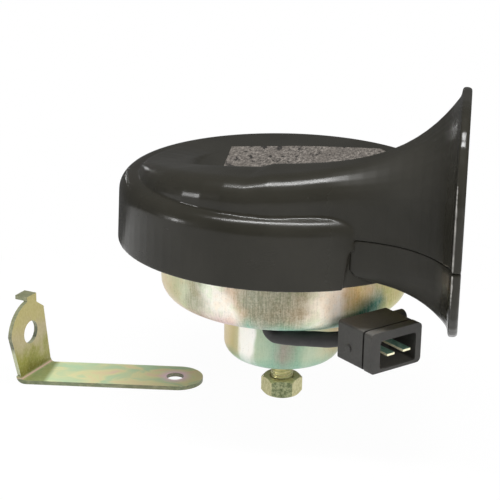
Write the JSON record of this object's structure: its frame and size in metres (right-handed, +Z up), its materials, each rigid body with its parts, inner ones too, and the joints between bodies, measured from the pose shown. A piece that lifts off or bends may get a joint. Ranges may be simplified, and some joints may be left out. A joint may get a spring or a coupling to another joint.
{
  "type": "snail horn",
  "caption": "Coiled electric trumpet horn: black moulded spiral bell on a plated steel housing, with a threaded stud, hexagon nut, two-way connector and a separate angled bracket.",
  "frame": {"origin": "Centre of the flat bottom of the housing's cup, where the threaded stud leaves it; the stud's axis is the frame's Z axis.", "axes": "+Z points up from the stud through the diaphragm to the trumpet's top plate, +X points out of the bell's mouth, +Y completes a right-handed frame, so the bell lies on the -Y side."},
  "size_m": [0.1602, 0.136, 0.122],
  "materials": {
    "black_plastic": "moulded black plastic, semi-gloss, with soft sink marks",
    "label_grey": "rough grey-brown stippled field, blank",
    "zinc_plate": "yellow passivated zinc plate, gold with mint, teal and pink bloom",
    "stud_gold": "yellow passivated steel, bright gold",
    "nut_olive": "yellow passivated steel, olive gold",
    "bobbin_board": "pressed brown fibre board",
    "copper_wire": "enamelled copper wire",
    "plain_steel": "bright spring steel",
    "gasket_paper": "black rubbered paper",
    "contact_brass": "rolled brass",
    "contact_metal": "tungsten contact metal",
    "base_board": "moulded phenolic board",
    "resistor_body": "lacquered ceramic body, tinned leads",
    "lead_black": "black insulated lead",
    "lead_red": "dark red insulated lead",
    "black_rubber": "matte black rubber",
    "connector_plastic": "matte black moulded plastic",
    "tin_plate": "tinned brass, warm white"
  },
  "bodies": {
    "horn": {"trumpet_upper": "black_plastic", "trumpet_lower": "black_plastic", "label_panel": "label_grey", "housing": "zinc_plate", "pole_core_stud": "stud_gold", "coil_bobbin": "bobbin_board", "coil_winding": "copper_wire", "gasket_lower": "gasket_paper", "gasket_upper": "gasket_paper", "flange_screws": "zinc_plate", "contact_base": "base_board", "contact_rivets": "contact_brass", "fixed_contact_arm": "contact_brass", "fixed_point": "contact_metal", "adjusting_bush": "contact_brass", "resistor": "resistor_body", "coil_lead": "lead_black", "contact_lead": "lead_red", "grommet": "black_rubber", "lead_sleeve": "black_rubber", "connector_body": "connector_plastic", "blade_left": "tin_plate", "blade_right": "tin_plate", "mounting_bracket": "zinc_plate", "diaphragm": "plain_steel"},
    "striker": {"armature": "plain_steel", "armature_collar": "bobbin_board", "diaphragm_washer": "plain_steel", "armature_nut": "plain_steel"},
    "contact_spring": {"moving_contact_arm": "contact_brass", "moving_point": "contact_metal"},
    "adjuster": {"adjusting_screw": "plain_steel"},
    "nut": {"mounting_nut": "nut_olive"}
  },
  "joints": [
    {"name": "striker_stroke", "type": "slide", "parent": "horn", "child": "striker", "axis": [0, 0, 1], "range_m": [-0.0005, 0], "stiffness_N_per_m": 20000, "deforming": ["diaphragm"]},
    {"name": "contact_arm", "type": "hinge", "parent": "horn", "child": "contact_spring", "pos_m": [0, 0.0285, 0.03845], "axis": [1, 0, 0], "range_deg": [0, 1.8]},
    {"name": "adjusting_screw_turn", "type": "hinge", "parent": "horn", "child": "adjuster", "pos_m": [0.013, 0.0275, 0.0225], "axis": [0, 0, 1], "continuous": true},
    {"name": "nut_travel", "type": "slide", "parent": "horn", "child": "nut", "axis": [0, 0, 1], "range_m": [0, 0.009]}
  ],
  "couplings": [
    {"joint": "contact_arm", "follows": "striker_stroke", "rad_per_m": -60}
  ]
}
